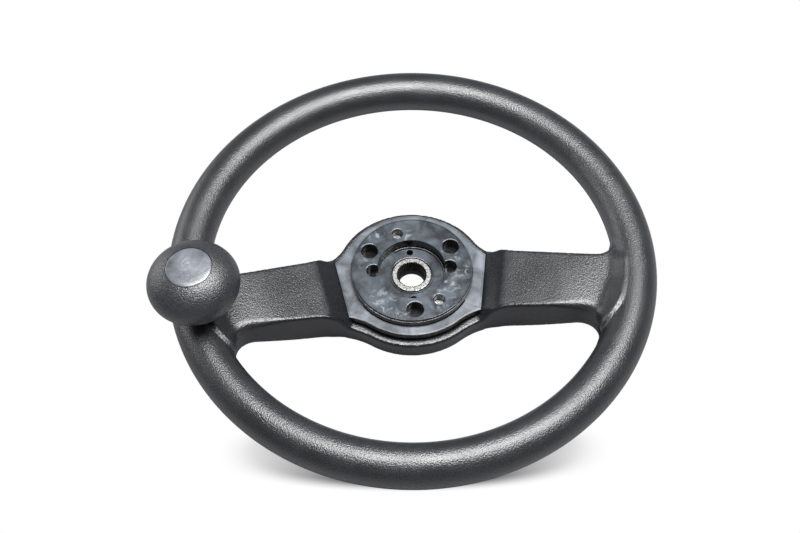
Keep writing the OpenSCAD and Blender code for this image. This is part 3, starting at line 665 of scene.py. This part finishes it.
def smooth_face(name, colour, glare, rough, wave, scuffs, shaded_floors_outside_r=1000.0, shine=0.5):
    """Smooth moulded face: slow flow waves, a fine leathery haze, scuffs where it was handled, and walls and deep
    hole floors painted near black as shade.
    """
    material, tree = new_material(name)
    place = add_node(tree, "ShaderNodeTexCoord").outputs["Object"]
    flow, haze, blotch = [
        add_node(tree, "ShaderNodeTexNoise", {
            "Vector": place, "Scale": 1000 / size_mm, "Detail": detail, "Distortion": twist}).outputs[0]
        for size_mm, detail, twist in ((FLOW_MM, 3.0, 1.6), (HAZE_MM, 3.0, 0.0), (BLOTCH_MM, 4.0, 0.8))]
    height = add_node(tree, "ShaderNodeMath", {0: haze, 1: 0.05, 2: flow}, operation="MULTIPLY_ADD")
    tone = add_node(tree, "ShaderNodeMapRange", {0: blotch, 1: 0.35, 2: 0.7, 3: 0.0, 4: 1.0})
    worn = add_node(tree, "ShaderNodeMix", {0: tone.outputs[0], 6: linear(colour), 7: linear(glare)},
                    data_type="RGBA")
    # Scuffs, as places and reaches in mm: the creases rise there, and scraped nylon turns pale
    near = None
    for x, y, z, reach in scuffs:
        away = add_node(tree, "ShaderNodeVectorMath", {0: place, 1: (x * MM, y * MM, z * MM)},
                        operation="DISTANCE")
        spot = add_node(tree, "ShaderNodeMapRange", {
            0: away.outputs["Value"], 1: reach * MM, 2: reach * 0.35 * MM, 3: 0.0, 4: 1.0},
            interpolation_type="SMOOTHSTEP").outputs[0]
        near = spot if near is None else add_node(
            tree, "ShaderNodeMath", {0: near, 1: spot}, operation="MAXIMUM").outputs[0]
    if near is not None:
        creases = add_node(tree, "ShaderNodeTexNoise", {
            "Vector": place, "Scale": 1000 / CREASE_MM, "Detail": 4.0, "Distortion": 1.3}).outputs[0]
        ripple = add_node(tree, "ShaderNodeMath", {0: near, 1: creases}, operation="MULTIPLY")
        height = add_node(tree, "ShaderNodeMath", {0: ripple.outputs[0], 1: 0.9, 2: height.outputs[0]},
                          operation="MULTIPLY_ADD")
        scraped = add_node(tree, "ShaderNodeMapRange", {0: creases, 1: 0.5, 2: 0.76, 3: 0.0, 4: 0.75})
        scraped = add_node(tree, "ShaderNodeMath", {0: scraped.outputs[0], 1: near}, operation="MULTIPLY")
        worn = add_node(tree, "ShaderNodeMix", {0: scraped.outputs[0], 6: worn.outputs[2], 7: linear("#9a9ea4")},
                        data_type="RGBA")
    bump = add_node(tree, "ShaderNodeBump", {"Strength": 1.0, "Distance": wave * MM, "Height": height.outputs[0]})
    # Painted shade: faces that turn sideways, and the floors of the deep holes outside the given radius, are
    # painted near black
    facing = add_node(tree, "ShaderNodeNewGeometry").outputs["True Normal"]
    facing = add_node(tree, "ShaderNodeSeparateXYZ", {0: facing})
    upward = add_node(tree, "ShaderNodeMapRange", {0: facing.outputs[2], 1: 0.3, 2: 0.7, 3: 0.0, 4: 1.0})
    spot = add_node(tree, "ShaderNodeSeparateXYZ", {0: place})
    flat = add_node(tree, "ShaderNodeCombineXYZ", {0: spot.outputs[0], 1: spot.outputs[1]})
    outer = add_node(tree, "ShaderNodeVectorMath", {0: flat.outputs[0]}, operation="LENGTH")
    outer = add_node(tree, "ShaderNodeMath", {0: outer.outputs["Value"], 1: shaded_floors_outside_r * MM},
                     operation="GREATER_THAN")
    sunk = add_node(tree, "ShaderNodeMath", {0: spot.outputs[2], 1: SHADED_HOLE_FLOORS_BELOW_Z * MM},
                    operation="LESS_THAN")
    sunk = add_node(tree, "ShaderNodeMath", {0: outer.outputs[0], 1: sunk.outputs[0]}, operation="MULTIPLY")
    bare = add_node(tree, "ShaderNodeMath", {0: upward.outputs[0], 1: sunk.outputs[0]}, operation="SUBTRACT",
                    use_clamp=True)
    shade = add_node(tree, "ShaderNodeMix", {0: bare.outputs[0], 6: linear("#161617"), 7: worn.outputs[2]},
                     data_type="RGBA")
    gloss = add_node(tree, "ShaderNodeMapRange", {0: haze, 1: 0.3, 2: 0.7, 3: rough - 0.04, 4: rough + 0.07})
    shell = add_node(tree, "ShaderNodeBsdfPrincipled", {
        "Base Color": shade.outputs[2], "Roughness": gloss.outputs[0], "Normal": bump.outputs[0], "IOR": 1.53,
        "Specular IOR Level": shine})
    add_node(tree, "ShaderNodeOutputMaterial", {"Surface": shell.outputs[0]})
    return material


tray_line = clean_outline(hub_outline(TRAY_R, TRAY_HALF_W, SLOPE_S - 0.3, 20))
angles = [math.atan2(y, x) for x, y in tray_line]


def tray_ring(d, z):
    return [(x, y, z) for x, y in inset(tray_line, d)]


def round_ring(r, z):
    return [(r * math.cos(a), r * math.sin(a), z) for a in angles]


# Rings from the bottom edge up the wall, over the bead and across the flat to the disc's pocket
FLAT_Z = TRAY_Z - BEAD_H
tray_rings = [tray_ring(0.5, TRAY_BOTTOM_Z), tray_ring(0.0, TRAY_BOTTOM_Z + 0.5), tray_ring(0.0, TRAY_Z - 0.62),
              tray_ring(0.12, TRAY_Z - 0.34), tray_ring(0.9, TRAY_Z - 0.03), tray_ring(BEAD_W, TRAY_Z),
              tray_ring(BEAD_W + 0.35, FLAT_Z), tray_ring(BEAD_W + 1.2, FLAT_Z - 0.02),
              round_ring(DISC_R + 0.75, FLAT_Z), round_ring(DISC_R + 0.45, FLAT_Z - 0.12),
              round_ring(DISC_R + 0.3, FLAT_Z - 0.5), round_ring(DISC_R + 0.3, DISC_BOTTOM_Z),
              round_ring(SLEEVE_R + 0.3, DISC_BOTTOM_Z), round_ring(SLEEVE_R + 0.3, TRAY_BOTTOM_Z)]
# Glass-filled nylon from a polished mould: grey-black, with a soft sheen and slow flow waves
tray_nylon = smooth_face("satin_nylon_tray", "#43474c", "#767b82", 0.32, 0.2, [])
tray_cutters = [pocket_ring(name, r, TRAY_BOTTOM_Z - 1, 0.1, DISC_BOTTOM_Z, ring, tray_nylon) for name, r, ring in
                (("tray_screw_ways", SCREW_WAY_R, SCREWS), ("tray_puller_holes", PULLER_HOLE_R, PULLER_HOLES))]
tray_mesh = carve(mesh_from("tray", *bridge_rings(tray_rings)), tray_cutters)
tray_mesh.name = "tray"
sharpen(tray_mesh, 12)
finish_with(tray_mesh, tray_nylon)
tray = link_mesh("tray", tray_mesh)
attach(tray, "wheel")
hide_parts("hub_tray")

# ---- Hub disc -----------------------------------------------------------------------
# Thick nylon disc that two screws clamp on the tray. It is moulded with a round recess,
# three cover sockets, two notches in the recess wall, two screw holes and two puller holes.

DISC_Z, RECESS_Z, RECESS_R = 24.5, 14.7, 26.0
SOCKETS = (3, 36.0, 30, 120)
NOTCHES = (2, 29.0, 0, 180)
SOCKET_R, NOTCH_R, SCREW_HOLE_R = 6.35, 5.3, 4.2
SCREW_SEAT_Z = DISC_BOTTOM_Z + 2.5

# Bottom and outer wall, the raised lip, the face, the recess, and the small collar round the sleeve
disc_profile = [(SLEEVE_R + 0.15, DISC_BOTTOM_Z), (46.1, DISC_BOTTOM_Z), (DISC_R, DISC_BOTTOM_Z + 0.4),
                (DISC_R, 22.5), (46.3, 22.8), (45.9, 22.85), (45.75, 23.0),
                (45.75, 24.5), (45.6, 24.85), (45.25, 25.0), (44.9, 25.0), (44.55, DISC_Z),
                (26.6, DISC_Z), (26.15, 24.2), (RECESS_R, 23.7), (RECESS_R, RECESS_Z + 0.5),
                (25.6, RECESS_Z), (17.0, RECESS_Z), (16.8, RECESS_Z + 0.15),
                (16.6, RECESS_Z + 0.7), (16.3, RECESS_Z + 0.85), (15.9, RECESS_Z + 0.75),
                (15.75, RECESS_Z + 0.3), (15.6, RECESS_Z - 0.8), (SLEEVE_R + 0.15, RECESS_Z - 0.8)]
SCUFFS = [(x, y, DISC_Z, reach) for x, y, reach in (
    (0, 30, 7), (-26, 33, 9), (31, 12, 12), (36, -4, 12), (27, -18, 13), (-24, -27, 15), (-34, 8, 9),
    (-10, -36, 10), (18, -31, 9))]
# The same nylon, glossier and handled: near black, clouded, with pale scuffs round its holes
# Its walls, and the hole floors more than 27.5 mm from the bore, take the painted shade
disc_nylon = smooth_face("scuffed_nylon_disc", "#2c2f33", "#565c63", 0.17, 0.22, SCUFFS, 27.5)
cutters = [pocket_ring("sockets", SOCKET_R, RECESS_Z, 0.9, DISC_Z, SOCKETS, disc_nylon),
           pocket_ring("notches", NOTCH_R, RECESS_Z + 0.02, 0.9, DISC_Z, NOTCHES, disc_nylon),
           pocket_ring("screw_holes", SCREW_HOLE_R, SCREW_SEAT_Z, 0.8, DISC_Z, SCREWS, disc_nylon),
           pocket_ring("screw_ways", SCREW_WAY_R, DISC_BOTTOM_Z - 1, 0.1, SCREW_SEAT_Z, SCREWS, disc_nylon),
           pocket_ring("puller_holes", PULLER_HOLE_R, DISC_BOTTOM_Z - 1, 0.3, RECESS_Z, PULLER_HOLES, disc_nylon)]
disc_mesh = carve(turned("disc", disc_profile, 192), cutters)
disc_mesh.name = "disc"
sharpen(disc_mesh, 12)
finish_with(disc_mesh, disc_nylon)
disc = link_mesh("disc", disc_mesh)
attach(disc, "wheel")
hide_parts("hub_disc")

# ---- Sleeve -------------------------------------------------------------------------
# Turned mild-steel sleeve with a broached, serrated bore, welded into the flange. Its faced
# end has a small chamfer inside and out.

SLEEVE_TOP, BORE_R, PILOT_LEN, TEETH, TOOTH_DEPTH = 16.0, 10.2, 5.0, 40, 0.7
SLEEVE_STEPS = TEETH * 4
# A tooth's four points, from its crest over its flank to its root and back
TOOTH_SHAPE = (0.15, 0.5, 1.0, 0.5)


def sleeve_ring(r, z, tooth_depth=0.0):
    turns = [2 * math.pi * i / SLEEVE_STEPS for i in range(SLEEVE_STEPS)]
    radii = [r + TOOTH_SHAPE[i % 4] * tooth_depth for i in range(SLEEVE_STEPS)]
    return [(r * math.cos(a), r * math.sin(a), z) for r, a in zip(radii, turns)]


sleeve_rings = [sleeve_ring(BORE_R + 0.4, 0.0), sleeve_ring(SLEEVE_R - 0.4, 0.0), sleeve_ring(SLEEVE_R, 0.4),
                sleeve_ring(SLEEVE_R, SLEEVE_TOP - 0.5), sleeve_ring(SLEEVE_R - 0.15, SLEEVE_TOP - 0.15),
                sleeve_ring(SLEEVE_R - 0.5, SLEEVE_TOP), sleeve_ring(BORE_R + 1.35, SLEEVE_TOP),
                sleeve_ring(BORE_R + 0.35, SLEEVE_TOP - 0.35, TOOTH_DEPTH),
                sleeve_ring(BORE_R, SLEEVE_TOP - 0.7, TOOTH_DEPTH),
                sleeve_ring(BORE_R, PILOT_LEN + 0.3, TOOTH_DEPTH),
                sleeve_ring(BORE_R, PILOT_LEN), sleeve_ring(BORE_R, 0.4)]
sleeve_mesh = mesh_from("sleeve", *bridge_rings(sleeve_rings))
sharpen(sleeve_mesh, 15)
# Faced mild steel: matt and bright, mottled by handling, with its bore painted near black as shade
turned_steel = bare_steel("faced_mild_steel", "#adadaa", "#474848", 0.38, 2.0, 0.7, BORE_R + 1.2)
sleeve_mesh.materials.append(turned_steel)
sleeve = link_mesh("sleeve", sleeve_mesh)
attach(sleeve, "wheel")
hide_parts("hub_sleeve")

# ---- Fasteners, bushes and washers --------------------------------------------------
# Two cross-head screws hold the disc, and a spring wire ring lies at the foot of the recess.
# The knob turns on a stud with pressed-in bushes, between washers and under a circlip.

# Oil-tempered spring steel: dark and smooth, with a thin bright glint along the wire
repaint(("snap_ring", "knob_circlip"),
        bare_steel("oiled_spring_steel", "#5b5d5f", "#313233", 0.3, 3.0, 0.6))
# Zinc electroplate: pale and bright, a little clouded
repaint(("disc_screws", "knob_lock_washer", "knob_collar", "knob_stud", "knob_top_washer"),
        bare_steel("bright_zinc_plate", "#dcdcd8", "#a2a3a4", 0.24, 3.0, 0.5))
# Sintered bronze, pressed from powder: warm brown, dull, finely pored
repaint(("knob_bush_lower", "knob_bush_upper"),
        bare_steel("sintered_bronze", "#b58a55", "#6f5332", 0.45, 2.0, 0.4))
# Uncoloured nylon: cream, waxy and faintly clouded
washer_nylon, tree = new_material("natural_nylon")
place = add_node(tree, "ShaderNodeTexCoord").outputs["Object"]
cloud = add_node(tree, "ShaderNodeTexNoise", {"Vector": place, "Scale": 1000 / 5.0, "Detail": 3.0}).outputs[0]
cream = add_node(tree, "ShaderNodeMix", {0: cloud, 6: linear("#d0c9b2"), 7: linear("#ded9c6")}, data_type="RGBA")
waxy = add_node(tree, "ShaderNodeMapRange", {0: cloud, 1: 0.3, 2: 0.7, 3: 0.4, 4: 0.5})
shell = add_node(tree, "ShaderNodeBsdfPrincipled", {
    "Base Color": cream.outputs[2], "Roughness": waxy.outputs[0], "IOR": 1.53})
add_node(tree, "ShaderNodeOutputMaterial", {"Surface": shell.outputs[0]})
repaint(("knob_thrust_washer",), washer_nylon)

# ---- Knob ---------------------------------------------------------------------------
# Spinner knob: hollow oval ball of grained polypropylene that turns on bronze bushes, closed
# by a smooth cap pressed into its crown. The cap is bare.

# The ball is drawn 0.02 mm small, so that its facets stay inside the solid's box
KNOB_R, KNOB_HALF_H, KNOB_MID_Z, KNOB_FOOT_Z = 31.98, 22.0, 79.5, 62.6
CAP_R, CAP_SEAT_Z, CAP_TOP_Z, CAP_CROWN = 15.7, 96.47, 98.67, 0.9
BUSH_HOLE_R = 9.9
OVAL_STEPS = 70


def oval(angle):
    a = math.radians(angle)
    return KNOB_R * math.cos(a), KNOB_MID_Z + KNOB_HALF_H * math.sin(a)


foot = -math.degrees(math.asin((KNOB_MID_Z - KNOB_FOOT_Z) / KNOB_HALF_H))
crown = math.degrees(math.acos(CAP_R / KNOB_R))
start, end = foot + 4, crown - 1.2
knob_profile = [(BUSH_HOLE_R, KNOB_FOOT_Z), (oval(foot)[0] - 1.2, KNOB_FOOT_Z)]
knob_profile += [oval(start + (end - start) * i / OVAL_STEPS) for i in range(OVAL_STEPS + 1)]
knob_profile += [(CAP_R + 0.25, oval(crown)[1] - 0.1), (CAP_R + 0.1, oval(crown)[1] - 0.45),
                 (CAP_R, CAP_SEAT_Z + 1.2), (CAP_R, CAP_SEAT_Z), (BUSH_HOLE_R, CAP_SEAT_Z)]
knob_mesh = turned("knob_ball", knob_profile, 160, (KNOB_X, KNOB_Y))
sharpen(knob_mesh, 40)
# Polypropylene from an etched mould: charcoal, a shade lighter than the rim, with the same satin pebbles
knob_grain = pebble_grain("moulded_polypropylene_grain", "#373a3e", "#1c1c1f", 0.18, 0.28)
knob_mesh.materials.append(knob_grain)
knob_ball = link_mesh("knob_ball", knob_mesh)
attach(knob_ball, "knob")
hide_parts("knob_shell")

CAP_EDGE_R = CAP_R - 0.12
CAP_FACE_R = CAP_EDGE_R - 0.4
cap_profile = [(0, CAP_SEAT_Z + 0.1), (CAP_EDGE_R, CAP_SEAT_Z + 0.1), (CAP_EDGE_R, CAP_TOP_Z - 0.55),
               (CAP_EDGE_R - 0.12, CAP_TOP_Z - 0.15), (CAP_FACE_R, CAP_TOP_Z)]
cap_profile += [(CAP_FACE_R * math.cos(math.radians(a)), CAP_TOP_Z + CAP_CROWN * math.sin(math.radians(a)))
                for a in (12, 24, 36, 48, 60, 72, 82)] + [(0, CAP_TOP_Z + CAP_CROWN)]
cap_mesh = turned("knob_cap_face", cap_profile, 128, (KNOB_X, KNOB_Y))
sharpen(cap_mesh, 40)
# Moulded ABS: smooth, with a broad satin glare and one faint rubbed spot
CAP_SCUFFS = [(KNOB_X - 3, KNOB_Y + 3, CAP_TOP_Z + 1, 7)]
cap_abs = smooth_face("satin_abs_cap", "#3a3d42", "#6c7078", 0.3, 0.16, CAP_SCUFFS, shine=1.0)
cap_mesh.materials.append(cap_abs)
knob_cap = link_mesh("knob_cap_face", cap_mesh)
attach(knob_cap, "knob")
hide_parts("knob_cap")
